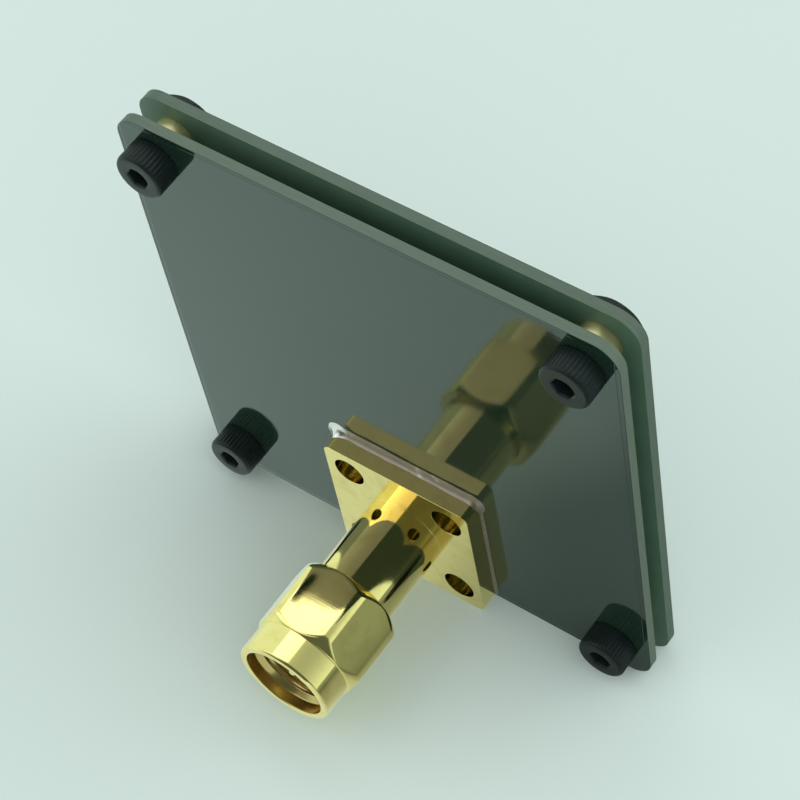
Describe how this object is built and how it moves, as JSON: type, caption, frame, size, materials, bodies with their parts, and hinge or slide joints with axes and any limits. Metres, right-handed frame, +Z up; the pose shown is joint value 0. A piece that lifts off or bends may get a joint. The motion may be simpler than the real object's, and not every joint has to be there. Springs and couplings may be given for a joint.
{
  "type": "patch antenna",
  "caption": "Flat patch antenna of stacked square circuit boards on corner spacers, fed through a soldered flange by a gold coaxial plug with a turning hex coupling nut.",
  "frame": {"origin": "centre of the coupling nut's mouth, on the plug's axis", "axes": "-Y out of the plug's mouth, +Z up the boards with the plug near their lower edge, +X to the right as seen from the front"},
  "size_m": [0.04, 0.0214, 0.0399],
  "materials": {
    "front_board_mask": "glossy dark solder mask over laminate",
    "rear_board_mask": "glossy dark solder mask over laminate",
    "patch_mask": "dark solder mask over copper",
    "spacer_brass": "turned, plain",
    "black_oxide": "black oxide on steel, satin",
    "gold_plate": "polished gold plate on brass",
    "nut_gold_plate": "polished gold plate on brass",
    "pin_gold_plate": "polished gold plate",
    "tin_solder": "bright tin solder",
    "white_insulator": "waxy white fluoropolymer",
    "ring_metal": "spring wire",
    "gasket_rubber": "silicone, matt"
  },
  "bodies": {
    "antenna": {"ground_board": "front_board_mask", "patch_board": "rear_board_mask", "radiating_patch": "patch_mask", "spacer_top_left": "spacer_brass", "spacer_top_right": "spacer_brass", "spacer_bottom_left": "spacer_brass", "spacer_bottom_right": "spacer_brass", "corner_screws": "black_oxide", "corner_nuts": "black_oxide", "connector_body": "gold_plate", "flange_solder": "tin_solder", "dielectric": "white_insulator", "centre_pin": "pin_gold_plate", "feed_solder": "tin_solder", "retaining_ring": "ring_metal", "gasket": "gasket_rubber"},
    "coupling_nut": {"coupling_nut": "nut_gold_plate"}
  },
  "joints": [
    {"name": "coupling_nut_turn", "type": "hinge", "parent": "antenna", "child": "coupling_nut", "pos_m": [0, 0, 0], "axis": [0, -1, 0], "continuous": true}
  ]
}
